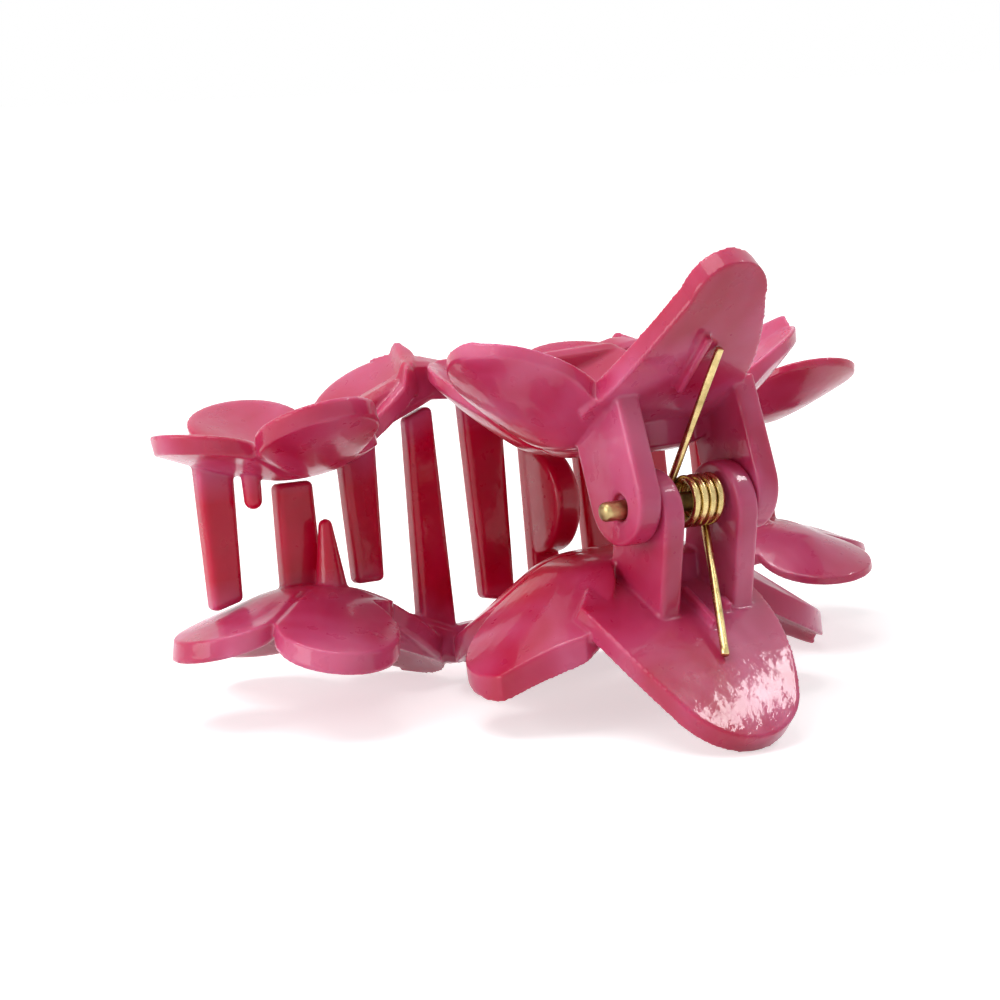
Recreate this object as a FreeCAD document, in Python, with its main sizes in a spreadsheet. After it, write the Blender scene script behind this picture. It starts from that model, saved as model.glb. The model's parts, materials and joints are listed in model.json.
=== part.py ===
import FreeCAD, Part
import math
import os
import Sketcher

os.makedirs("parts", exist_ok=True)
doc = FreeCAD.newDocument("flower_claw_clip")
V = FreeCAD.Vector
ROT = FreeCAD.Rotation

# Working frame: hinge pin on X, handles toward -Y, teeth toward +Y, mid-plane at Z = 0.
# Both jaws are drawn above the mid-plane. The lower one is then turned over about Y.

SIZES = {
    # hinge
    "pin_dia": (2.0, "hinge pin"),
    "pin_len": (21.5, "hinge pin, end to end"),
    "pin_edge": (0.25, "chamfer on the pin ends"),
    "run_gap": (0.08, "radial running gap in the outer ears"),
    "mouth_gap": (0.4, "radial gap at the mouth of an outer ear hole"),
    "mouth_lift": (0.25, "rise of that mouth above the pin"),
    "mouth_deep": (0.8, "depth of that mouth"),
    "ear_half": (4.75, "half width of an ear"),
    "ear_back": (0.55, "pin to the middle line of an ear, toward the teeth"),
    "ear_nose": (3.7, "pin to the round end of an ear"),
    "outer_thick": (2.7, "thickness of an outer ear"),
    "inner_thick": (2.45, "thickness of an inner ear"),
    "ear_rise": (11.5, "pin to the root of an ear"),
    "ear_drop": (2.3, "how much shorter the toothed side of the root is"),
    "ear_lean": (3.0, "how far the root stands toward the teeth"),
    "ear_edge": (0.45, "rounding of the ear edges"),
    "outer_ear": (5.9, "middle to the inner face of an outer ear"),
    "inner_ear": (3.3, "middle to the inner face of an inner ear"),
    # centre flower
    "cf_back": (12.8, "pin to the flower axis"),
    "cf_up": (5.0, "underside of the heart above the mid-plane"),
    "cf_heart": (8.5, "radius where the flat heart meets the slope"),
    "cf_round": (3.0, "rounding between heart and slope"),
    "cf_slope": (37.0, "slope of the petals"),
    "cf_thick": (2.9, "petal thickness, upright"),
    "cf_off": (12.6, "heart to the middle of a petal end"),
    "cf_lobe": (8.0, "radius of a petal end"),
    "cf_core": (9.0, "radius of the heart disc"),
    "trim_out": (17.2, "flower axis to the straight flank of one lower petal"),
    "trim_turn": (-58.1, "direction in which that flank faces"),
    # handle petal
    "upper_shift": (-1.4, "middle of the clip to the middle of the upper handle"),
    "lower_shift": (2.6, "the same for the lower handle"),
    "upper_sway": (1.0, "how far the tip of the upper handle stands aside of its root"),
    "lower_sway": (0.3, "the same for the lower handle"),
    "hp_knee_y": (2.3, "pin to the knee of the handle, along Y"),
    "hp_knee_z": (12.0, "underside of the handle at the knee"),
    "hp_tip_y": (14.0, "pin to the end of the handle curve, along Y"),
    "hp_tip_z": (24.2, "underside of the handle at that end"),
    "hp_thick": (2.3, "thickness of the handle petal"),
    "hp_root": (4.5, "half width at the heart"),
    "hp_root_at": (-14.0, "knee to that width, along the handle"),
    "hp_wide_at": (-5.0, "knee to the widest place"),
    "upper_wide": (9.0, "upper handle, half width there"),
    "upper_side": (7.2, "upper handle, half width farther out"),
    "upper_side_at": (4.0, "knee to that width"),
    "upper_end": (4.5, "upper handle, half width where the end starts to round"),
    "upper_end_at": (11.6, "knee to that width"),
    "upper_long": (15.8, "knee to the upper handle tip"),
    "lower_wide": (10.4, "lower handle, half width at the widest place"),
    "lower_side": (9.5, "lower handle, half width farther out"),
    "lower_side_at": (3.0, "knee to that width"),
    "lower_end": (6.9, "lower handle, half width where the end starts to round"),
    "lower_end_at": (10.7, "knee to that width"),
    "lower_long": (15.2, "knee to the lower handle tip"),
    "rib_wide": (0.8, "width of a rib beside the spring leg"),
    "rib_out": (1.0, "how far a rib stands out of the handle"),
    "rib_sunk": (0.7, "how deep it is rooted"),
    # side flowers
    "sf_out": (27.5, "middle to the flower axis"),
    "sf_back": (28.6, "pin to the flower axis"),
    "sf_up": (5.9, "underside of the heart above the mid-plane"),
    "sf_heart": (4.0, "radius where the heart meets the slope"),
    "sf_round": (4.0, "rounding between heart and slope"),
    "sf_slope": (28.0, "slope of the petals"),
    "sf_thick": (2.5, "petal thickness, upright"),
    "sf_off": (9.2, "heart to the middle of a petal end"),
    "sf_lobe": (6.4, "radius of a petal end"),
    "sf_core": (7.0, "radius of the heart disc"),
    "sf_tip": (10.0, "outward lean of the flower"),
    # bar and teeth
    "bar_front": (28.4, "pin to the near face of the bar"),
    "bar_deep": (3.4, "bar, near face to far face"),
    "bar_low": (7.7, "underside of the bar at its end"),
    "bar_high": (12.4, "underside of the bar at the crown"),
    "bar_tall": (4.4, "bar height"),
    "bar_end": (24.0, "half length of the bar"),
    "bar_knee": (12.5, "half length of the level crown"),
    "bar_sag": (0.6, "dip in the middle of the crown"),
    "bar_edge": (0.7, "chamfer along the bar"),
    "tooth_front": (29.0, "pin to the near face of the teeth"),
    "tooth_deep": (2.2, "tooth, near face to far face"),
    "tooth_edge": (0.65, "rounding of the tooth corners"),
    "nub_front": (27.3, "pin to the middle of the short teeth"),
    "fin_back": (29.2, "pin to the middle of the round fin on the middle tooth"),
    "fin_rad": (5.9, "radius of that fin"),
    "fin_wide": (3.2, "width of that fin"),
    # spring
    "wire_dia": (0.85, "spring wire"),
    "coil_rad": (2.28, "coil radius at the wire middle"),
    "coil_pitch": (0.98, "advance of one turn"),
    "coil_start": (-1.3, "wire middle at the left end of the coil"),
    "leg_long": (16.6, "leg length"),
    "leg_angle": (32.75, "direction in which the legs leave the coil"),
    "leg_aside_upper": (1.7, "sideways run of the upper leg"),
    "leg_aside_lower": (-5.1, "sideways run of the lower leg"),
}

sheet = doc.addObject("Spreadsheet::Sheet", "Sizes")
for row, (name, (value, note)) in enumerate(SIZES.items(), start=1):
    sheet.set(f"A{row}", note)
    sheet.set(f"B{row}", str(value))
    sheet.setAlias(f"B{row}", name)
doc.recompute()


def size(name):
    return float(sheet.get(name))


def drive(obj, **formulas):
    """Bind properties of an object to formulas on the sheet."""
    for prop, formula in formulas.items():
        obj.setExpression(prop, formula)


def place(obj, x="0", y="0", z="0"):
    """Bind the position of an object to formulas in millimetres."""
    for axis, formula in zip("xyz", (x, y, z)):
        obj.setExpression(f".Placement.Base.{axis}", formula)


def turned(obj, axis, angle):
    """Bind the turn of an object to a formula in degrees about a fixed axis."""
    obj.Placement = FreeCAD.Placement(V(0, 0, 0), ROT(axis, 1.0))
    obj.setExpression(".Placement.Rotation.Angle", angle)


def make(kind, name, **formulas):
    obj = doc.addObject("Part::" + kind, name)
    drive(obj, **formulas)
    return obj


def fuse(name, shapes):
    node = doc.addObject("Part::MultiFuse", name)
    node.Shapes = shapes
    node.Refine = True
    return node


def new_sketch(body, name, role):
    sketch = body.newObject("Sketcher::SketchObject", name)
    plane = next(o for o in body.Origin.OriginFeatures if o.Role == role)
    sketch.AttachmentSupport = [(plane, "")]
    sketch.MapMode = "FlatFace"
    return sketch


def loop(sketch, corners):
    """Closed outline; a corner that holds two points gives an arc through the first."""
    ends = [c[-1] if isinstance(c, list) else c for c in corners]
    for here, corner in zip([ends[-1]] + ends[:-1], corners):
        if isinstance(corner, list):
            sketch.addGeometry(Part.Arc(here, corner[0], corner[1]), False)
        else:
            sketch.addGeometry(Part.LineSegment(here, corner), False)


def pad(body, sketch, length, middle=False):
    block = body.newObject("PartDesign::Pad", sketch.Name + "_pad")
    block.Profile = sketch
    block.setExpression("Length", length)
    block.Midplane = middle
    return block


def circle_of(sketch, radius):
    """Circle on the sketch origin whose radius follows a formula."""
    ring = sketch.addGeometry(Part.Circle(V(0, 0, 0), V(0, 0, 1), 1.0), False)
    sketch.addConstraint(Sketcher.Constraint("Coincident", ring, 3, -1, 1))
    rule = sketch.addConstraint(Sketcher.Constraint("Radius", ring, 1.0))
    sketch.setExpression(f"Constraints[{rule}]", radius)
    return ring


def bowl(name, key):
    """Rounded cone shell turned about its own upright axis."""
    body = doc.addObject("PartDesign::Body", name)
    sketch = new_sketch(body, name + "_section", "XZ_Plane")
    lean = math.radians(size(key + "_slope"))
    bend = size(key + "_round") / math.tan(lean / 2)
    flat = max(size(key + "_heart") - size(key + "_round"), 0.5)
    wide = size(key + "_off") + 2 * size(key + "_lobe")
    low = V(flat + bend * math.sin(lean), bend * (1 - math.cos(lean)), 0)
    mid = V(flat + bend * math.sin(lean / 2), bend * (1 - math.cos(lean / 2)), 0)
    far = low + V(wide - low.x, (wide - low.x) * math.tan(lean), 0)
    up = V(0, size(key + "_thick"), 0)
    heart = V(flat, 0, 0)
    loop(sketch, [heart, [mid, low], far, far + up, low + up, [mid + up, heart + up], up, V(0, 0, 0)])
    turn = body.newObject("PartDesign::Revolution", name + "_shell")
    turn.Profile = sketch
    turn.ReferenceAxis = (sketch, ["V_Axis"])
    turn.Angle = 360.0
    return body


def flower(name, key, petals):
    """Rounded petals cut from a bowl; petals lists (angle, extra reach)."""
    tall = f"2 * Sizes.{key}_off + Sizes.{key}_lobe"
    lobes = []
    for number, (angle, extra) in enumerate(petals):
        lobe = make("Cylinder", f"{name}_lobe_{number}", Radius=f"Sizes.{key}_lobe", Height=tall)
        reach = f"(Sizes.{key}_off + {extra})"
        place(lobe, f"{reach} * cos({angle} deg)", f"{reach} * sin({angle} deg)")
        lobes.append(lobe)
    core = make("Cylinder", name + "_core", Radius=f"Sizes.{key}_core", Height=tall)
    cut = doc.addObject("Part::MultiCommon", name)
    cut.Shapes = [bowl(name + "_bowl", key), fuse(name + "_outline", lobes + [core])]
    return cut


def handle_curve():
    """Root, knee and end of the spring side of a handle, in the YZ plane."""
    root = V(size("cf_back") + 1.0, size("cf_up") + 0.1, 0)
    knee = V(-size("hp_knee_y"), size("hp_knee_z"), 0)
    tip = V(-size("hp_tip_y"), size("hp_tip_z"), 0)
    return root, knee, tip, Part.Arc(root, knee, tip).toShape().Curve.Center


def handle(kind):
    """Curved plate of the handle petal, cut to a tongue square to its own slope."""
    name = kind + "_handle"
    body = doc.addObject("PartDesign::Body", name + "_plate")
    side = new_sketch(body, name + "_side", "YZ_Plane")
    root, knee, tip, hub = handle_curve()

    def inward(spot):
        return spot + (hub - spot).normalize() * size("hp_thick")

    loop(side, [[knee, tip], inward(tip), [inward(knee), inward(root)], root])
    pad(body, side, "4 * Sizes.lower_wide", True)
    plan_body = doc.addObject("PartDesign::Body", name + "_outline")
    plan = new_sketch(plan_body, name + "_plan", "XY_Plane")

    def middle_at(at):
        return V(size(kind + "_shift") + size(kind + "_sway") * at / size(kind + "_long"), at, 0)

    def flank(side_of, width, at):
        return middle_at(size(at)) + V(side_of * size(f"{kind}_{width}"), 0, 0)

    left, right = (
        [flank(s, "wide", "hp_wide_at"), flank(s, "side", kind + "_side_at"),
         flank(s, "end", kind + "_end_at")] for s in (-1, 1))
    heart = V(size("hp_root"), size("hp_root_at"), 0)
    loop(plan, [
        left[0], [left[1], left[2]], [middle_at(size(kind + "_long")), right[2]],
        [right[1], right[0]], heart, V(-heart.x, heart.y, 0)])
    pad(plan_body, plan, "2 * Sizes.hp_tip_z", True)
    climb = math.degrees(math.atan2(tip.y - knee.y, tip.x - knee.x))
    turned(plan_body, V(1, 0, 0), f"{climb}")
    place(plan_body, y="-Sizes.hp_knee_y", z="Sizes.hp_knee_z")
    cut = doc.addObject("Part::MultiCommon", name)
    cut.Shapes = [body, plan_body]
    return cut


def ear(name, kind, outward):
    """One hinge ear, on the side given by outward; the pin turns in the upper ears."""
    runs = kind == "upper"
    place_of = "outer" if runs else "inner"
    thick = f"Sizes.{place_of}_thick"
    body = doc.addObject("PartDesign::Body", name)
    side = new_sketch(body, name + "_side", "YZ_Plane")
    lean = math.atan2(size("ear_lean"), size("ear_rise"))
    along = V(math.sin(lean), math.cos(lean), 0)
    across = V(math.cos(lean), -math.sin(lean), 0) * size("ear_half")
    back = V(size("ear_back"), 0, 0)
    root = back + along * size("ear_rise")
    nose = back - along * size("ear_nose")
    hub = nose + along * size("ear_half")
    far_root = root + across - along * size("ear_drop")
    loop(side, [[nose, hub - across], root - across, far_root, hub + across])
    block = pad(body, side, thick, False)
    doc.recompute()
    rounded = [
        f"Edge{i}"
        for i, edge in enumerate(block.Shape.Edges, start=1)
        if edge.BoundBox.XLength < 1e-6
        and edge.BoundBox.Center.z < size("ear_rise") * 0.75
    ]
    soft = body.newObject("PartDesign::Fillet", name + "_soft")
    soft.Base = (block, rounded)
    soft.setExpression("Radius", "Sizes.ear_edge")
    hole = new_sketch(body, name + "_hole", "YZ_Plane")
    circle_of(hole, "Sizes.pin_dia / 2" + (" + Sizes.run_gap" if runs else ""))
    bore = body.newObject("PartDesign::Pocket", name + "_bore")
    bore.Profile = hole
    bore.Type = "ThroughAll"
    bore.Midplane = True
    if runs:
        mouth = new_sketch(body, name + "_mouth", "YZ_Plane")
        circle_of(mouth, "Sizes.pin_dia / 2 + Sizes.mouth_gap")
        mouth.setExpression(".AttachmentOffset.Base.y", "Sizes.mouth_lift")
        if outward > 0:
            mouth.setExpression(".AttachmentOffset.Base.z", thick)
        sink = body.newObject("PartDesign::Pocket", name + "_sink")
        sink.Profile = mouth
        sink.setExpression("Length", "Sizes.mouth_deep")
        sink.Reversed = outward < 0
    face = f"Sizes.{place_of}_ear"
    place(body, face if outward > 0 else f"-{face} - {thick}")
    return body


def bar(name):
    """Arched bar that joins the flowers and carries the teeth."""
    body = doc.addObject("PartDesign::Body", name)
    side = new_sketch(body, name + "_arch", "XZ_Plane")
    end, knee = size("bar_end"), size("bar_knee")
    low, high, tall = size("bar_low"), size("bar_high"), size("bar_tall")
    crown = high - size("bar_sag")
    under = [V(-end, low, 0), V(-knee, high, 0), V(0, crown, 0), V(knee, high, 0), V(end, low, 0)]
    over = [spot + V(0, tall, 0) for spot in reversed(under)]
    loop(side, under + over)
    block = pad(body, side, "Sizes.bar_deep", False)
    doc.recompute()
    long_edges = [
        f"Edge{i}"
        for i, edge in enumerate(block.Shape.Edges, start=1)
        if edge.BoundBox.YLength < 1e-6 and edge.BoundBox.XLength > 1.0
    ]
    soft = body.newObject("PartDesign::Chamfer", name + "_soft")
    soft.Base = (block, long_edges)
    soft.setExpression("Size", "Sizes.bar_edge")
    place(body, y="Sizes.bar_front + Sizes.bar_deep")
    return body


def tooth(name, middle, root_wide, tip_wide, top, tip, slant):
    """Tapered tooth with rounded corners; the outer corner of its tip ends short by slant."""
    body = doc.addObject("PartDesign::Body", name)
    face = new_sketch(body, name + "_face", "XZ_Plane")
    left, right = (slant, 0) if middle < 0 else (0, slant)
    loop(face, [
        V(middle - root_wide / 2, top, 0), V(middle + root_wide / 2, top, 0),
        V(middle + tip_wide / 2, tip + right, 0), V(middle - tip_wide / 2, tip + left, 0)])
    block = pad(body, face, "Sizes.tooth_deep")
    doc.recompute()
    picked = [
        f"Edge{i}"
        for i, edge in enumerate(block.Shape.Edges, start=1)
        if edge.BoundBox.ZMin < top - 0.01
    ]
    soft = body.newObject("PartDesign::Fillet", name + "_soft")
    soft.Base = (block, picked)
    soft.setExpression("Radius", "Sizes.tooth_edge")
    place(body, y="Sizes.tooth_front + Sizes.tooth_deep")
    return body


def fin(name, middle):
    """Round fin that stands out of the middle tooth toward the hinge."""
    body = doc.addObject("PartDesign::Body", name)
    side = new_sketch(body, name + "_side", "YZ_Plane")
    back, rad = size("fin_back"), size("fin_rad")
    loop(side, [
        V(back, -rad, 0), [V(back - rad, 0, 0), V(back, rad, 0)],
        V(back + 1.0, rad, 0), V(back + 1.0, -rad, 0)])
    block = pad(body, side, "Sizes.fin_wide", True)
    doc.recompute()
    rims = [
        f"Edge{i}"
        for i, edge in enumerate(block.Shape.Edges, start=1)
        if edge.BoundBox.XLength < 1e-6 and edge.BoundBox.ZLength > rad
        and edge.BoundBox.YMin < back - 1.0
    ]
    soft = body.newObject("PartDesign::Fillet", name + "_soft")
    soft.Base = (block, rims)
    soft.setExpression("Radius", "Sizes.tooth_edge")
    place(body, f"{middle}")
    return body


def short_tooth(name, middle, base_rad, tip_rad, top, tip):
    cone = doc.addObject("Part::Cone", name + "_cone")
    cone.Radius1 = tip_rad
    cone.Radius2 = base_rad
    cone.Height = top - tip
    place(cone, f"{middle}", "Sizes.nub_front", f"{tip}")
    ball = doc.addObject("Part::Sphere", name + "_ball")
    ball.Radius = tip_rad
    place(ball, f"{middle}", "Sizes.nub_front", f"{tip}")
    return fuse(name, [cone, ball])


def rib(name, middle, near, far):
    """Low rib on the spring side of a handle, from near to far behind the pin."""
    hub = handle_curve()[3]
    radius = hub.distanceToPoint(handle_curve()[1])

    def on_handle(back):
        return V(0, -back, hub.y - math.sqrt(radius ** 2 - (hub.x + back) ** 2))

    run = on_handle(near) - on_handle(far)
    block = make("Box", name, Length="Sizes.rib_wide", Height="Sizes.rib_out + Sizes.rib_sunk")
    block.Width = run.Length
    slope = math.atan2(run.z, run.y)
    turned(block, V(1, 0, 0), f"{math.degrees(slope)}")
    base = on_handle(far) - V(0, -math.sin(slope), math.cos(slope)) * size("rib_out")
    place(block, f"{middle} - Sizes.rib_wide / 2", f"{base.y}", f"{base.z}")
    return block


# Petals: direction from the heart, extra reach
CENTRE_PETALS = {
    "upper": [(201, 1.6), (342, 0.0), (126, -0.4), (70, 0.9)],
    "lower": [(344, 1.6), (198, 0.0), (54, -0.4), (110, 0.9)],
}
# Both side flowers are given as if they stood on the left of the closed clip.
SIDE_PETALS = {
    "left": [(184, 1.5), (99, 1.2), (25, 1.8), (250, 1.4)],
    "right": [(165, 0.9), (100, 0.4), (28, 0.6), (252, -1.2)],
}


def centre_flower(kind):
    name = kind + "_centre"
    bloom = flower(name, "cf", CENTRE_PETALS[kind])
    if kind == "lower":
        trim = make("Box", name + "_trim", Length="2 * Sizes.cf_lobe", Width="4 * Sizes.cf_lobe",
                    Height="2 * Sizes.cf_off + Sizes.cf_lobe")
        turned(trim, V(0, 0, 1), "Sizes.trim_turn")
        base = ROT(V(0, 0, 1), size("trim_turn")).multVec(V(size("trim_out"), -2 * size("cf_lobe"), 0))
        place(trim, f"{base.x}", f"{base.y}")
        whole = bloom
        bloom = doc.addObject("Part::Cut", name + "_trimmed")
        bloom.Base = whole
        bloom.Tool = trim
    place(bloom, y="Sizes.cf_back", z="Sizes.cf_up")
    return bloom


def side_flower(name, side, clip_side):
    petals = [(a if side < 0 else 180 - a, extra) for a, extra in SIDE_PETALS[clip_side]]
    bloom = flower(name, "sf", petals)
    turned(bloom, V(0, 1, 0), f"{side} * Sizes.sf_tip")
    place(bloom, f"{side} * Sizes.sf_out", "Sizes.sf_back", "Sizes.sf_up")
    return bloom


# Teeth, left to right: middle, width at the root, width at the tip, root height,
# tip height, how much shorter the outer corner of the tip is.
LONG_TEETH = {
    "upper": [
        (-38.8, 4.2, 3.5, 8.4, -6.4, -0.9),
        (-22.0, 4.5, 3.4, 10.4, -6.4, 0.0),
        (-6.3, 5.2, 4.0, 13.6, -10.7, 0.8),
        (8.0, 5.2, 4.2, 13.4, -10.6, 0.8),
        (23.8, 4.6, 3.6, 9.8, -5.4, 0.0),
    ],
    "lower": [
        (-29.9, 4.7, 4.3, 7.8, -5.3, 0.0),
        (-14.2, 4.4, 3.3, 13.4, -12.0, 1.3),
        (0.2, 3.6, 3.2, 13.2, -10.8, 0.0),
        (15.6, 4.3, 3.5, 13.2, -11.6, 1.3),
        (30.1, 4.4, 3.5, 7.8, -5.3, 0.0),
    ],
}
# Short teeth: (middle, root radius, tip radius, root height, tip height)
SHORT_TEETH = {
    "upper": [(-35.8, 1.1, 0.95, 8.0, 4.0)],
    "lower": [(-27.8, 1.9, 0.75, 7.4, -0.4), (27.8, 1.9, 0.75, 7.4, -0.4)],
}
# Ribs: middle, near and far end behind the pin
RIBS = {
    "upper": [(-1.8, 2.0, 8.0)],
    "lower": [(0.7, -1.8, 3.4), (-2.2, 0.5, 1.7)],
}


def jaw(kind):
    """Everything moulded in one jaw, drawn above the mid-plane."""
    hand = 1 if kind == "upper" else -1
    pieces = [centre_flower(kind), handle(kind), bar(kind + "_bar")]
    for clip_side, tag in ((-1, "left"), (1, "right")):
        side = hand * clip_side
        pieces.append(side_flower(f"{kind}_{tag}_flower", side, tag))
        pieces.append(ear(f"{kind}_{tag}_ear", kind, side))
    for number, (middle, *rest) in enumerate(LONG_TEETH[kind]):
        pieces.append(tooth(f"{kind}_tooth_{number}", hand * middle, *rest))
    for number, (middle, *rest) in enumerate(SHORT_TEETH[kind]):
        pieces.append(short_tooth(f"{kind}_short_{number}", hand * middle, *rest))
    for number, (middle, near, far) in enumerate(RIBS[kind]):
        pieces.append(rib(f"{kind}_rib_{number}", middle, near, far))
    if kind == "lower":
        pieces.append(fin("middle_fin", hand * LONG_TEETH[kind][2][0]))
    return fuse(kind + "_jaw", pieces)


def hinge_pin():
    body = doc.addObject("PartDesign::Body", "hinge_pin")
    ring = new_sketch(body, "pin_ring", "YZ_Plane")
    circle_of(ring, "Sizes.pin_dia / 2")
    rod = pad(body, ring, "Sizes.pin_len", True)
    doc.recompute()
    ends = [f"Edge{i}" for i, e in enumerate(rod.Shape.Edges, start=1) if e.BoundBox.XLength < 1e-6]
    cut = body.newObject("PartDesign::Chamfer", "pin_ends")
    cut.Base = (rod, ends)
    cut.setExpression("Size", "Sizes.pin_edge")
    return body


def spring():
    """Coil about the pin with two straight legs, drawn from the sheet values."""
    wire = size("wire_dia") / 2
    rad = size("coil_rad")
    tilt = math.radians(size("leg_angle"))
    turns = 4.0 + 2 * math.degrees(tilt) / 360.0
    advance = turns * size("coil_pitch")
    coil = Part.makeHelix(size("coil_pitch"), advance, rad, 0, True)
    hook = Part.Wire([Part.makeCircle(wire, V(rad, 0, 0), V(0, 1, 0))])
    body = Part.Wire(coil.Edges).makePipeShell([hook], True, True)
    out_dir = V(0, math.cos(tilt), math.sin(tilt))
    up_dir = V(0, -math.sin(tilt), math.cos(tilt))
    body.Placement = FreeCAD.Placement(
        V(size("coil_start"), 0, 0), ROT(out_dir, up_dir, V(1, 0, 0), "ZXY"))
    solids = [body]
    knuckle = wire * 1.03
    for up, reach in ((1, size("leg_aside_upper")), (-1, size("leg_aside_lower"))):
        start_x = size("coil_start") + (0 if up > 0 else advance)
        start = V(start_x, rad * math.cos(tilt), up * rad * math.sin(tilt))
        run = V(reach, -size("leg_long") * math.sin(tilt), up * size("leg_long") * math.cos(tilt))
        solids.append(Part.makeCylinder(wire, run.Length, start, run))
        solids.append(Part.makeSphere(knuckle, start))
        solids.append(Part.makeSphere(knuckle, start + run))
    node = doc.addObject("Part::Feature", "torsion_spring")
    node.Shape = solids[0].multiFuse(solids[1:])
    return node


def resting_seat(points, under):
    """Lays the clip on its lower jaw: handle tip and side petals touch the table."""
    behind = [p for p in under if p.y < 0]
    beyond = [p for p in under if p.y > 0]
    tip = min(behind, key=lambda p: p.z)
    for _ in range(4):
        lean = min(math.atan2(p.z - tip.z, p.y - tip.y) for p in beyond)
        tip = min(behind, key=lambda p: p.z * math.cos(lean) - p.y * math.sin(lean))
    lie = ROT(V(1, 0, 0), -math.degrees(lean))
    laid = [lie.multVec(p) for p in points]
    wide = [p.x for p in laid]
    depth = [p.y for p in laid]
    middle = V((min(wide) + max(wide)) / 2, (min(depth) + max(depth)) / 2, min(p.z for p in laid))
    return FreeCAD.Placement(-middle, lie)


turn_over = FreeCAD.Placement(V(0, 0, 0), ROT(V(0, 1, 0), 180))
nodes = [jaw("upper"), jaw("lower"), hinge_pin(), spring()]
own = {node.Name: FreeCAD.Placement() for node in nodes}
doc.recompute()
own["lower_jaw"] = turn_over
mesh = {n.Name: [own[n.Name].multVec(p) for p in n.Shape.tessellate(0.05)[0]] for n in nodes}
seat = resting_seat(sum(mesh.values(), []), mesh["lower_jaw"])
print("hinge at", seat.Base, "lean", -math.degrees(seat.Rotation.Angle) * seat.Rotation.Axis.x)

for node in nodes:
    node.Label = node.Name
    node.Placement = seat.multiply(own[node.Name])
doc.recompute()

for obj in doc.Objects:
    bad = [word for word in obj.State if word in ("Invalid", "Error")]
    if bad:
        raise RuntimeError(f"{obj.Name}: {bad}")
for node in nodes:
    shape = node.Shape
    if shape.isNull() or not shape.isValid():
        raise RuntimeError(f"{node.Name}: shape is not valid")
    box = shape.BoundBox
    print(node.Name, len(shape.Solids), round(shape.Volume, 1),
          [round(v, 2) for v in (box.XMin, box.XMax, box.YMin, box.YMax, box.ZMin, box.ZMax)])
    shape.exportStep(f"parts/{node.Name}.step")
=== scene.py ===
import json
import math

import bmesh
import bpy
import numpy as np
from mathutils import Matrix, Vector

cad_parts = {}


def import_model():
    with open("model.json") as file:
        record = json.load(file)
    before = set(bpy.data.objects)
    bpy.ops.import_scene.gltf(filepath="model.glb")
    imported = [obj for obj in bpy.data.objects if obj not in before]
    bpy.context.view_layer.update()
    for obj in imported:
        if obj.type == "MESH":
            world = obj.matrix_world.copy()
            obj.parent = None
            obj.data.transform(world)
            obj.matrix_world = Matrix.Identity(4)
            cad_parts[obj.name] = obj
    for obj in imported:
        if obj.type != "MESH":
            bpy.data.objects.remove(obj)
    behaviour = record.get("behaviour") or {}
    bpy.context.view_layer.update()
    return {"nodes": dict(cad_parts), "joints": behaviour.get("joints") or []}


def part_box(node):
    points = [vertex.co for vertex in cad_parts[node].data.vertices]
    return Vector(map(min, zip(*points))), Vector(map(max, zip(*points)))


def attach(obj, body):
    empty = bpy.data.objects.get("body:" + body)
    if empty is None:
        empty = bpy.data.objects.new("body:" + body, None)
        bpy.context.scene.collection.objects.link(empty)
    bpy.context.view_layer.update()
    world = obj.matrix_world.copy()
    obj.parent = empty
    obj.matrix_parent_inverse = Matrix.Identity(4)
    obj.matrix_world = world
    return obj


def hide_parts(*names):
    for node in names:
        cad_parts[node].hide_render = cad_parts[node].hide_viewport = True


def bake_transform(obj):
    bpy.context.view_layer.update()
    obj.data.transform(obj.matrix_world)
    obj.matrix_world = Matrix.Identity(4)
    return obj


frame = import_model()

MM = 0.001
HINGE = Vector(frame["joints"][0]["pos_m"])
LEAN = math.radians(7.825)

# Jaw frame, in millimetres: hinge pin on X, handles toward -Y, mid-plane at Z = 0, and the jaw
# above it. The clip leans back by LEAN, and the lower jaw is the same frame turned over about Y.
CLIP_TO_PART = Matrix.Translation(HINGE) @ Matrix.Rotation(-LEAN, 4, "X") @ Matrix.Scale(MM, 4)
JAW_TO_PART = {
    "upper": CLIP_TO_PART,
    "lower": CLIP_TO_PART @ Matrix.Rotation(math.pi, 4, "Y"),
}


# ---------------------------------------------------------------- mesh helpers

def through(points, matrix):
    """Points of an (n, 3) array taken through a 4 x 4 matrix."""
    m = np.array(matrix)
    return points @ m[:3, :3].T + m[:3, 3]


def get_points(mesh):
    flat = np.empty(len(mesh.vertices) * 3, np.float32)
    mesh.vertices.foreach_get("co", flat)
    return flat.reshape(-1, 3).astype(float)


def set_points(mesh, points):
    mesh.vertices.foreach_set("co", points.astype(np.float32).ravel())
    mesh.update()


def new_piece(name, mesh):
    obj = bpy.data.objects.new(name, mesh)
    bpy.context.scene.collection.objects.link(obj)
    mesh.shade_smooth()
    return obj


SMOOTH_STEPS = (0.5, -0.52)


def relax(mesh, points, rounds):
    """Rounds the edges without shrinking the form: smoothing steps forth and back."""
    edges = np.empty(len(mesh.edges) * 2, np.int32)
    mesh.edges.foreach_get("vertices", edges)
    a, b = edges.reshape(-1, 2).T
    count = np.bincount(edges, minlength=len(points))[:, None].clip(1)
    for step in SMOOTH_STEPS * rounds:
        total = np.zeros_like(points)
        for axis in range(3):
            total[:, axis] = np.bincount(a, points[b, axis], len(points))
            total[:, axis] += np.bincount(b, points[a, axis], len(points))
        points = points + step * (total / count - points)
    return points


def ease(low, high, value):
    """Smooth ramp from 0 at low to 1 at high."""
    t = np.clip((value - low) / (high - low), 0, 1)
    return t * t * (3 - 2 * t)


# ---------------------------------------------------------------- moulded jaws

WELD = 0.002 * MM
VOXEL = 0.20 * MM
EDGE_ROUNDS = 5
LAST_ROUNDS = 1

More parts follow.
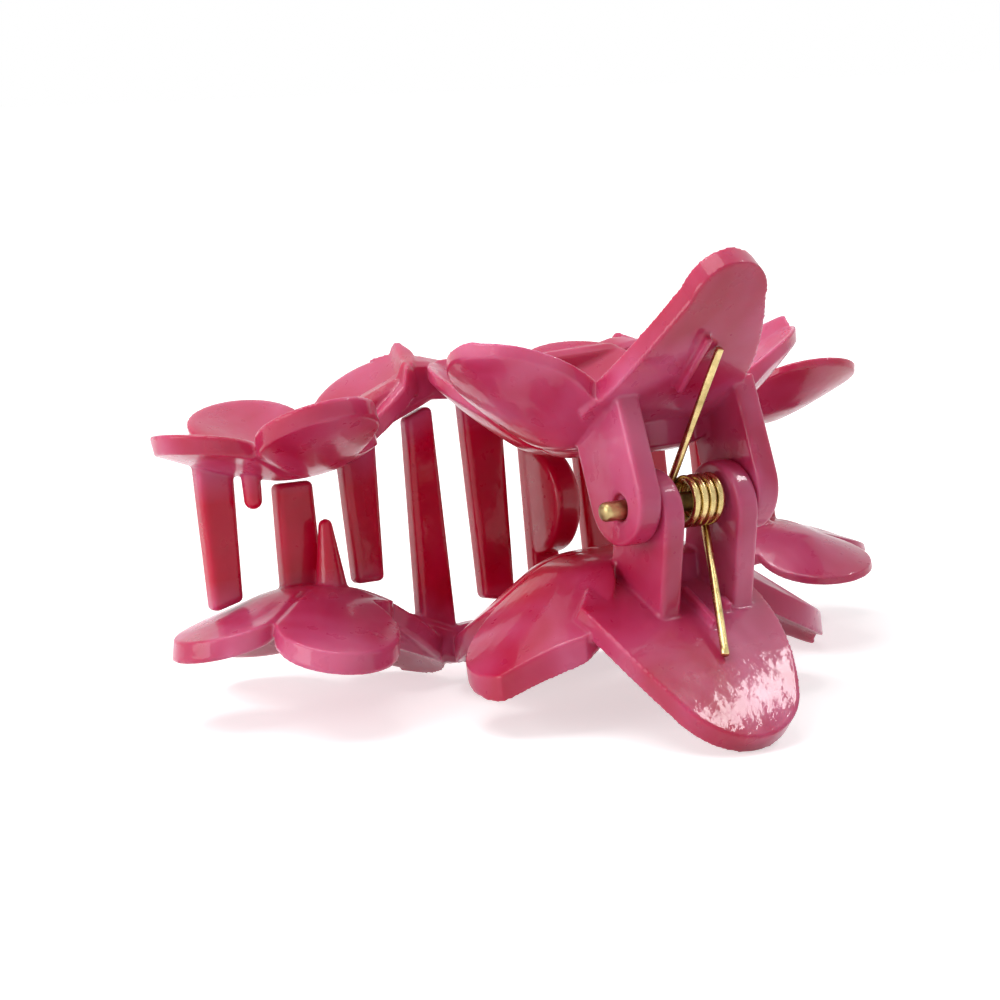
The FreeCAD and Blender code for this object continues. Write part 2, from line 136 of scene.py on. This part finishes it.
# Crease between neighbouring petals, and rounding of the rims.
GROOVE_DEEP = 0.32
GROOVE_WIDE = 0.42
RIM_ROUND = 1.2
THIN_POWER = 1.6

# Where the sculpting fades in or out, in millimetres.
FACE_FADE = (0.2, 1.2)      # outside the two faces of a petal
FORM_FROM = (2.5, 11.0)     # dome and twist, from the flower's axis
CREASE_FROM = (3.0, 6.0)    # creases, from the axis
THIN_FROM = (3.0, 9.0)      # thin rims, from the axis
FORM_RIM = (0.0, 3.0)       # dome and twist, from the rim
PETAL_END = (24.0, 26.0)    # past the longest petal
SIDE_FROM = 15              # from the middle of the clip to a side flower
# Share of the thickness over which the crease turns from one face to the other.
FACE_TURN = (0.2, 0.8)
# Degrees from the middle of the handle, which stays as plain as the solid.
HANDLE_FREE = (34, 48)

# Flowers: axis, underside height, outward lean, heart radius and its rounding, slope, thickness,
# reach and radius of a petal end, core radius. They repeat the sizes of the moulded solids.
# Dome and twist shape each petal across its width, and curl rounds off its outer edge.
CENTRE = dict(axis=(0, 12.8), up=5.0, lean=0, heart=8.5, round=3.0, slope=37, thick=2.9,
              off=12.6, lobe=8.0, core=9.0, dome=0.0, twist=0.0, curl=0.35)
SIDE = dict(axis=(27.5, 28.6), up=5.9, lean=10, heart=4.5, round=4.0, slope=28, thick=2.5,
            off=9.2, lobe=6.4, core=7.0, dome=0.5, twist=0.2, curl=0.45)

# Petals: direction in degrees and extra reach. The side flowers are given as on the left.
HANDLE_AT = 270
CENTRE_PETALS = {
    "upper": ((70, 0.9), (126, -0.4), (201, 1.6), (HANDLE_AT, 9.0), (342, 0.0)),
    "lower": ((54, -0.4), (110, 0.9), (198, 0.0), (HANDLE_AT, 9.0), (344, 1.6)),
}
SIDE_PETALS = {
    "left": ((25, 1.8), (99, 1.2), (184, 1.5), (250, 1.4)),
    "right": ((28, 0.6), (100, 0.4), (165, 0.9), (252, -1.2)),
}
# How much thinner the petals get toward the rim, and over what distance.
THIN_RIM = {
    ("upper", "centre"): (1.2, 5.0),
    ("lower", "centre"): (0.0, 3.0),
    ("upper", "left"): (0.2, 4.0),
    ("lower", "left"): (0.0, 3.0),
    ("upper", "right"): (1.3, 8.0),
    ("lower", "right"): (1.3, 8.0),
}


def bowl_height(flower, radius):
    """Height of the underside of a flower at a distance from its axis."""
    slope = math.radians(flower["slope"])
    bend = flower["round"] / math.tan(slope / 2)
    flat = flower["heart"] - flower["round"]
    arc = np.clip(radius - flat, 0, bend * math.sin(slope))
    rise = bend - np.sqrt(bend * bend - arc ** 2)
    return rise + np.maximum(radius - flat - bend * math.sin(slope), 0) * math.tan(slope)


def sculpt_flower(points, flower, petals, side, thin):
    """Domes each petal, thins and rounds its rim and presses a crease between neighbours."""
    seat = (Matrix.Translation((side * flower["axis"][0], flower["axis"][1], flower["up"]))
            @ Matrix.Rotation(math.radians(flower["lean"]) * side, 4, "Y"))
    local = through(points, seat.inverted())
    flat = local[:, :2] * (-1 if side > 0 else 1, 1)
    radius = np.hypot(*flat.T)
    angle = np.degrees(np.arctan2(flat[:, 1], flat[:, 0])) % 360
    turns = np.array([turn for turn, extra in petals], float)
    bounds = (turns + np.roll(turns, -1) + np.where(turns > np.roll(turns, -1), 360, 0)) / 2
    off = (angle[:, None] - turns[None, :] + 180) % 360 - 180
    nearest = np.abs(off).argmin(1)
    off = off[np.arange(len(off)), nearest]
    after = (bounds - turns)[nearest]
    before = (turns - np.roll(bounds, 1) % 360)[nearest] % 360
    share = np.where(off >= 0, off / after, off / before)
    to_edge = np.radians(np.minimum(np.abs(after - off), np.abs(off + before))) * radius

    # Distance to the rim: the outline is the core and the round petal ends.
    to_rim = flower["core"] - radius
    for degrees, extra in petals:
        turn, reach = math.radians(degrees), flower["off"] + extra
        spot = np.array((math.cos(turn), math.sin(turn))) * reach
        to_rim = np.maximum(to_rim, flower["lobe"] - np.hypot(*(flat - spot).T))
    from_handle = np.abs((angle - HANDLE_AT + 180) % 360 - 180)
    free = ease(*HANDLE_FREE, from_handle) if flower is CENTRE else 1

    thick = flower["thick"]
    above = local[:, 2] - bowl_height(flower, radius)
    near, far = FACE_FADE
    inside = ease(-far, -near, above) * (1 - ease(thick + near, thick + far, above))
    level = np.clip(above / thick, 0, 1)
    zone = ease(*FORM_FROM, radius) * (1 - ease(*PETAL_END, radius))
    share = np.clip(share, -1, 1)
    wedge = (flower["dome"] * share ** 2 + flower["twist"] * share) * ease(*FORM_RIM, to_rim)
    groove = GROOVE_DEEP * np.exp(-(to_edge / GROOVE_WIDE) ** 2) * (1 - 2 * ease(*FACE_TURN, level))
    shift = wedge * zone + groove * ease(*CREASE_FROM, radius)
    amount, wide = thin
    thinned = (1 - level) * amount * (1 - np.clip(to_rim / wide, 0, 1)) ** THIN_POWER
    shift += thinned * ease(*THIN_FROM, radius)
    curl = RIM_ROUND - np.clip(to_rim, 0, RIM_ROUND)
    fall = RIM_ROUND - np.sqrt(RIM_ROUND ** 2 - curl ** 2)
    shift -= level ** 2 * fall * flower["curl"] * (to_rim < RIM_ROUND)
    moved = local.copy()
    moved[:, 2] += shift * free * inside
    return through(moved, seat)


def moulded_jaw(kind, material):
    """Soft-edged moulding made from the jaw's solid."""
    node = frame["nodes"][f"{kind}_jaw"]
    low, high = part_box(f"{kind}_jaw")
    mesh = node.data.copy()
    shell = bmesh.new()
    shell.from_mesh(mesh)
    bmesh.ops.remove_doubles(shell, verts=shell.verts, dist=WELD)
    shell.to_mesh(mesh)
    shell.free()
    obj = new_piece(f"{kind}_jaw_moulding", mesh)
    remesh = obj.modifiers.new("skin", "REMESH")
    remesh.mode = "VOXEL"
    remesh.voxel_size = VOXEL
    bpy.context.view_layer.update()
    skin = bpy.data.meshes.new_from_object(obj.evaluated_get(bpy.context.evaluated_depsgraph_get()))
    obj.modifiers.clear()
    obj.data = skin
    points = relax(skin, get_points(skin), EDGE_ROUNDS)
    to_part = JAW_TO_PART[kind]
    jaw = through(points, to_part.inverted())
    jaw = sculpt_flower(jaw, CENTRE, CENTRE_PETALS[kind], 0, THIN_RIM[kind, "centre"])
    hand = 1 if kind == "upper" else -1
    for side, tag in ((-hand, "left"), (hand, "right")):
        near = jaw[:, 0] * side > SIDE_FROM
        jaw[near] = sculpt_flower(jaw[near], SIDE, SIDE_PETALS[tag], side, THIN_RIM[kind, tag])
    points = relax(skin, through(jaw, to_part), LAST_ROUNDS)
    set_points(skin, np.clip(points, np.array(low), np.array(high)))
    skin.shade_smooth()
    skin.materials.clear()
    skin.materials.append(material)
    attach(obj, kind)
    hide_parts(f"{kind}_jaw")


# ---------------------------------------------------------------- spring and pin

WIRE_RADIUS = 0.425
COIL_RADIUS = 2.28
COIL_PITCH = 0.98
COIL_START = -1.3
LEG_LONG = 16.6
LEG_TILT = math.radians(32.75)
COIL_TURNS = 4 + LEG_TILT / math.pi
UPPER_REACH = 1.7
LOWER_REACH = -5.1
WIRE_CHAMFER = 0.12
WIRE_SIDES = 20
COIL_STEPS = 260
# Places along a leg, as shares of its length from the tip down to the coil.
LEG_SHARES = np.linspace(1, 0.02, 24)

PIN_RADIUS = 1.0
PIN_LONG = 21.5
PIN_SIDES = 40
# Rounded end: distance from the end in millimetres, and share of the radius.
PIN_PROFILE = ((0, 0.3), (0.06, 0.62), (0.2, 0.86), (0.42, 0.985), (0.7, 1.0))


def spring_line():
    """Centreline of the wire in the clip frame, from the upper leg's tip to the lower one's."""
    cos, sin = math.cos(LEG_TILT), math.sin(LEG_TILT)

    def leg(side, start_x, reach):
        root = Vector((start_x, COIL_RADIUS * cos, side * COIL_RADIUS * sin))
        run = Vector((reach, -LEG_LONG * sin, side * LEG_LONG * cos))
        return [root + run * share for share in LEG_SHARES]

    coil = []
    for step in range(COIL_STEPS + 1):
        turned = LEG_TILT - 2 * math.pi * COIL_TURNS * step / COIL_STEPS
        along = COIL_START + COIL_PITCH * COIL_TURNS * step / COIL_STEPS
        coil.append(Vector((along, COIL_RADIUS * math.cos(turned), COIL_RADIUS * math.sin(turned))))
    upper = leg(1, COIL_START, UPPER_REACH)
    lower = leg(-1, coil[-1].x, LOWER_REACH)
    return upper + coil + lower[::-1]


def around(sides):
    """Angles of the points of a ring."""
    return [2 * math.pi * k / sides for k in range(sides)]


def tube_rings(line, radii):
    """Rings of points about a line, with a radius at each of its points."""
    rings = []
    normal = Vector((1, 0, 0))
    for here, (point, radius) in enumerate(zip(line, radii)):
        ahead = (line[min(here + 1, len(line) - 1)] - line[max(here - 1, 0)]).normalized()
        normal = (normal - ahead * normal.dot(ahead)).normalized()
        across = ahead.cross(normal)
        rings.append([
            point + (normal * math.cos(t) + across * math.sin(t)) * radius
            for t in around(WIRE_SIDES)])
    return rings


def skinned(name, rings):
    """Closed piece over rings of points in the clip frame, with flat ends."""
    mesh = bmesh.new()
    loops = [[mesh.verts.new(point) for point in ring] for ring in rings]
    for one, two in zip(loops, loops[1:]):
        for k in range(len(one)):
            mesh.faces.new((one[k], one[k - 1], two[k - 1], two[k]))
    mesh.faces.new(loops[0])
    mesh.faces.new(loops[-1][::-1])
    bmesh.ops.recalc_face_normals(mesh, faces=mesh.faces)
    data = bpy.data.meshes.new(name)
    mesh.to_mesh(data)
    mesh.free()
    data.transform(CLIP_TO_PART)
    return new_piece(name, data)


def torsion_spring(material):
    """Wire with chamfered ends that winds about the pin and lies under both handles."""
    line = spring_line()
    tip = (line[0] - line[1]).normalized() * WIRE_CHAMFER
    foot = (line[-1] - line[-2]).normalized() * WIRE_CHAMFER
    line = [line[0], line[0] - tip] + line[1:-1] + [line[-1] - foot, line[-1]]
    end = [WIRE_RADIUS - WIRE_CHAMFER]
    radii = end + [WIRE_RADIUS] * (len(line) - 2) + end
    obj = skinned("spring_wire", tube_rings(line, radii))
    obj.data.materials.append(material)
    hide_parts("torsion_spring")
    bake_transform(obj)


def hinge_pin(material):
    """Pin with a cropped, slightly rounded end on each side."""
    half = PIN_LONG / 2
    near = [(half - depth, share * PIN_RADIUS) for depth, share in PIN_PROFILE]
    stations = [(-x, r) for x, r in near] + [(x, r) for x, r in reversed(near)]
    obj = skinned("pin_rod", [
        [(x, radius * math.cos(t), radius * math.sin(t)) for t in around(PIN_SIDES)]
        for x, radius in stations])
    obj.data.materials.append(material)
    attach(obj, "lower")
    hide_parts("hinge_pin")


# ---------------------------------------------------------------- materials

class Shader:
    """Small helper around a material's node tree."""

    def __init__(self, name):
        self.material = bpy.data.materials.new(name)
        self.material.use_nodes = True
        self.tree = self.material.node_tree
        self.surface = self.tree.nodes["Principled BSDF"]
        coords = self.tree.nodes.new("ShaderNodeTexCoord")
        self.place = coords.outputs["Object"]

    def add(self, kind, **values):
        node = self.tree.nodes.new("ShaderNode" + kind)
        for key, value in values.items():
            if key in node.inputs:
                node.inputs[key].default_value = value
            else:
                setattr(node, key, value)
        return node

    def link(self, source, target):
        self.tree.links.new(source, target)

    def noise(self, size, detail=3.0, rough=0.5, swirl=0.0):
        """Noise whose features are about size millimetres across."""
        node = self.add("TexNoise", Scale=1 / (size * MM), Detail=detail, Roughness=rough,
                        Distortion=swirl)
        self.link(self.place, node.inputs["Vector"])
        return node.outputs["Fac"]

    def ramp(self, source, stops):
        node = self.add("ValToRGB")
        marks = node.color_ramp.elements
        while len(marks) < len(stops):
            marks.new(0.5)
        for mark, (where, colour) in zip(marks, stops):
            mark.position = where
            mark.color = (*colour, 1) if len(colour) == 3 else colour
        self.link(source, node.inputs["Fac"])
        return node.outputs["Color"]

    def remap(self, source, low, high, to_low, to_high):
        node = self.add("MapRange")
        self.link(source, node.inputs["Value"])
        names = ("From Min", "From Max", "To Min", "To Max")
        for key, value in zip(names, (low, high, to_low, to_high)):
            node.inputs[key].default_value = value
        return node.outputs["Result"]

    def calc(self, operation, *values):
        """Math node. Each value is a number or the output of another node."""
        node = self.add("Math", operation=operation)
        for socket, value in zip(node.inputs, values):
            if isinstance(value, bpy.types.NodeSocket):
                self.link(value, socket)
            else:
                socket.default_value = value
        return node.outputs[0]

    def bump(self, source, height, before=None):
        node = self.add("Bump", Strength=1.0, Distance=height * MM)
        self.link(source, node.inputs["Height"])
        if before:
            self.link(before, node.inputs["Normal"])
        return node.outputs["Normal"]

    def set(self, **values):
        for key, value in values.items():
            self.surface.inputs[key.replace("_", " ")].default_value = value


# Painted shade: the teeth stand in shade in a flat zone about the mid-plane, on the toothed side of
# the pin, and get a deeper crimson there. The zone is taller under the arch of the tooth bar, in
# the middle of the clip.
SHADE_ZONE_EDGE = (4.0 * MM, 7.0 * MM)
SHADE_ZONE_BACK = (-9 * MM, -3 * MM)
ARCH_SIDES = (13 * MM, 21 * MM)
ARCH_RISE = 4.5 * MM


def marbled_plastic():
    """Pearly pink moulding plastic, with painted shade: a deeper crimson on the teeth between the
    jaws.
    """
    s = Shader("marbled_pink_plastic")
    swirl = s.noise(15, 2.0, 0.5, 0.9)
    pearl = s.ramp(swirl, [
        (0.30, (0.46, 0.008, 0.056)),
        (0.45, (0.53, 0.038, 0.124)),
        (0.58, (0.59, 0.080, 0.198)),
        (0.74, (0.70, 0.145, 0.285)),
    ])
    # Painted shade: a shaded, deep crimson copy of the pink, laid on the teeth between the jaws.
    clear = s.ramp(swirl, [
        (0.30, (0.48, 0.001, 0.024)),
        (0.70, (0.60, 0.002, 0.050)),
    ])
    parts = s.add("SeparateXYZ")
    s.link(s.place, parts.inputs["Vector"])
    x, y, z = (parts.outputs[axis] for axis in "XYZ")
    tilt = math.tan(LEAN)
    height = s.calc("MULTIPLY_ADD", y, tilt, z)
    level = s.calc("ABSOLUTE", s.calc("SUBTRACT", height, HINGE.z + HINGE.y * tilt))
    arch = s.remap(s.calc("ABSOLUTE", x), *ARCH_SIDES, ARCH_RISE, 0)
    # Mask of the painted shade: 1 in the zone between the jaws on the toothed side, 0 elsewhere.
    between = s.remap(s.calc("SUBTRACT", level, arch), *SHADE_ZONE_EDGE, 1, 0)
    toothed = s.remap(y, *SHADE_ZONE_BACK, 0, 1)
    mix = s.add("Mix", data_type="RGBA")
    s.link(s.calc("MULTIPLY", between, toothed), mix.inputs["Factor"])
    s.link(pearl, mix.inputs[6])
    s.link(clear, mix.inputs[7])
    s.link(mix.outputs[2], s.surface.inputs["Base Color"])
    s.link(s.remap(s.noise(2.2, 4.0), 0.3, 0.7, 0.24, 0.42), s.surface.inputs["Roughness"])
    waves = s.bump(s.noise(1.5, 3.0, 0.5), 0.028)
    grain = s.bump(s.noise(0.5, 3.0, 0.6), 0.008, waves)
    s.link(grain, s.surface.inputs["Normal"])
    s.link(waves, s.surface.inputs["Coat Normal"])
    s.set(Subsurface_Weight=0.45, Subsurface_Radius=(1.0, 0.16, 0.26), Subsurface_Scale=0.0035,
          Specular_IOR_Level=0.25, Coat_Weight=0.4, Coat_Roughness=0.05)
    return s.material


def brass_wire(name, light, dark, rough):
    """Drawn brass: fine scratches, a little tarnish."""
    s = Shader(name)
    tarnish = s.ramp(s.noise(1.6, 5.0, 0.65), [(0.32, dark), (0.62, light)])
    wear = s.remap(s.noise(0.7, 3.0), 0.3, 0.7, rough - 0.06, rough + 0.1)
    s.link(tarnish, s.surface.inputs["Base Color"])
    s.link(wear, s.surface.inputs["Roughness"])
    s.link(s.bump(s.noise(0.25, 3.0, 0.6), 0.012), s.surface.inputs["Normal"])
    s.set(Metallic=1.0)
    return s.material


# ---------------------------------------------------------------- stage, light and camera

def mix_for_seen(tree, first, second):
    """Second shader for camera, glossy and transmission rays, first for all others."""
    path = tree.nodes.new("ShaderNodeLightPath")
    seen = path.outputs["Is Camera Ray"]
    for name in ("Is Glossy Ray", "Is Transmission Ray"):
        either = tree.nodes.new("ShaderNodeMath")
        either.operation = "MAXIMUM"
        tree.links.new(seen, either.inputs[0])
        tree.links.new(path.outputs[name], either.inputs[1])
        seen = either.outputs[0]
    mix = tree.nodes.new("ShaderNodeMixShader")
    tree.links.new(seen, mix.inputs["Fac"])
    tree.links.new(first, mix.inputs[1])
    tree.links.new(second, mix.inputs[2])
    return mix.outputs[0]


WHITE = (1, 1, 1, 1)
WORLD_LEVEL = 0.30

TABLE_HALF = 3.0
TABLE_GREY = (0.86, 0.86, 0.86, 1)
# Distance from the clip over which the table brightens to white, and its glow at both ends.
FADE_SPAN = (0.10, 0.60)
FADE_GLOW = (0.58, 1.0)


def world():
    sky = bpy.data.worlds.new("studio")
    bpy.context.scene.world = sky
    sky.use_nodes = True
    tree = sky.node_tree
    dim = tree.nodes["Background"]
    dim.inputs["Strength"].default_value = WORLD_LEVEL
    dim.inputs["Color"].default_value = WHITE
    white = tree.nodes.new("ShaderNodeBackground")
    white.inputs["Color"].default_value = WHITE
    out = tree.nodes["World Output"]
    tree.links.new(mix_for_seen(tree, dim.outputs[0], white.outputs[0]), out.inputs["Surface"])


def floor():
    mesh = bpy.data.meshes.new("floor")
    corners = [(x * TABLE_HALF, y * TABLE_HALF, 0) for x, y in ((-1, -1), (1, -1), (1, 1), (-1, 1))]
    mesh.from_pydata(corners, [], [(0, 1, 2, 3)])
    obj = new_piece("floor", mesh)
    material = bpy.data.materials.new("pale_table")
    material.use_nodes = True
    tree = material.node_tree
    matt = tree.nodes["Principled BSDF"]
    matt.inputs["Base Color"].default_value = TABLE_GREY
    matt.inputs["Roughness"].default_value = 1.0
    matt.inputs["Specular IOR Level"].default_value = 0.0
    lift = tree.nodes.new("ShaderNodeEmission")
    # The camera sees the far part of the table as pure white, and the near part with its shadow.
    coords = tree.nodes.new("ShaderNodeTexCoord")
    away = tree.nodes.new("ShaderNodeVectorMath")
    away.operation = "LENGTH"
    tree.links.new(coords.outputs["Object"], away.inputs[0])
    fade = tree.nodes.new("ShaderNodeMapRange")
    for key, value in zip(("From Min", "From Max", "To Min", "To Max"), FADE_SPAN + FADE_GLOW):
        fade.inputs[key].default_value = value
    tree.links.new(away.outputs["Value"], fade.inputs["Value"])
    tree.links.new(fade.outputs["Result"], lift.inputs["Strength"])
    both = tree.nodes.new("ShaderNodeAddShader")
    tree.links.new(matt.outputs[0], both.inputs[0])
    tree.links.new(lift.outputs[0], both.inputs[1])
    out = tree.nodes["Material Output"]
    tree.links.new(mix_for_seen(tree, matt.outputs[0], both.outputs[0]), out.inputs["Surface"])
    mesh.materials.append(material)


def softbox(name, target, direction, distance, size, power):
    """Rectangular lamp that shines on target from a direction."""
    data = bpy.data.lights.new(name, "AREA")
    data.shape = "RECTANGLE"
    data.size, data.size_y = size
    data.energy = power
    obj = bpy.data.objects.new(name, data)
    bpy.context.scene.collection.objects.link(obj)
    toward = Vector(direction).normalized()
    obj.location = Vector(target) + toward * distance
    obj.rotation_mode = "QUATERNION"
    obj.rotation_quaternion = toward.to_track_quat("Z", "Y")


# Lamps: what they shine on, where from, how far away, width and height, and watts.
MIDDLE = (0, 0, 0.025)
LOWER_HANDLE = (0, -0.028, 0.006)
LAMPS = {
    "overhead_box": (MIDDLE, (-0.30, 0.02, 0.95), 0.65, (0.45, 0.45), 2.1),
    "left_box": (MIDDLE, (-0.95, 0.05, 0.30), 0.6, (0.4, 0.3), 1.5),
    "rim_box": (MIDDLE, (-0.2, 0.42, 1.0), 0.6, (0.13, 0.13), 0.5),
    "strip_light": (LOWER_HANDLE, (0.585, -0.12, 0.80), 0.5, (0.19, 0.022), 0.32),
}

CAMERA_PLACE = Vector((-0.149059, -0.228347, 0.06904))
CAMERA_FORWARD = Vector((0.50460, 0.84562, -0.17408))
CAMERA_ROLL = math.radians(1.45)
CAMERA_LENS = 93.37
SENSOR_WIDE = 36


def camera():
    data = bpy.data.cameras.new("photo_camera")
    data.sensor_width = SENSOR_WIDE
    data.lens = CAMERA_LENS
    data.clip_start, data.clip_end = 0.01, 20
    obj = bpy.data.objects.new("photo_camera", data)
    bpy.context.scene.collection.objects.link(obj)
    look = CAMERA_FORWARD.to_track_quat("-Z", "Y").to_matrix().to_4x4()
    roll = Matrix.Rotation(-CAMERA_ROLL, 4, "Z")
    obj.matrix_world = Matrix.Translation(CAMERA_PLACE) @ look @ roll
    bpy.context.scene.camera = obj


# ---------------------------------------------------------------- the scene

pink = marbled_plastic()
for jaw_name in ("upper", "lower"):
    moulded_jaw(jaw_name, pink)
torsion_spring(brass_wire("spring_brass", (0.74, 0.58, 0.27), (0.42, 0.31, 0.12), 0.20))
hinge_pin(brass_wire("pin_brass", (0.52, 0.40, 0.18), (0.28, 0.20, 0.09), 0.34))

world()
floor()
for lamp_name, lamp in LAMPS.items():
    softbox(lamp_name, *lamp)
camera()

bpy.context.scene.view_settings.view_transform = "Standard"
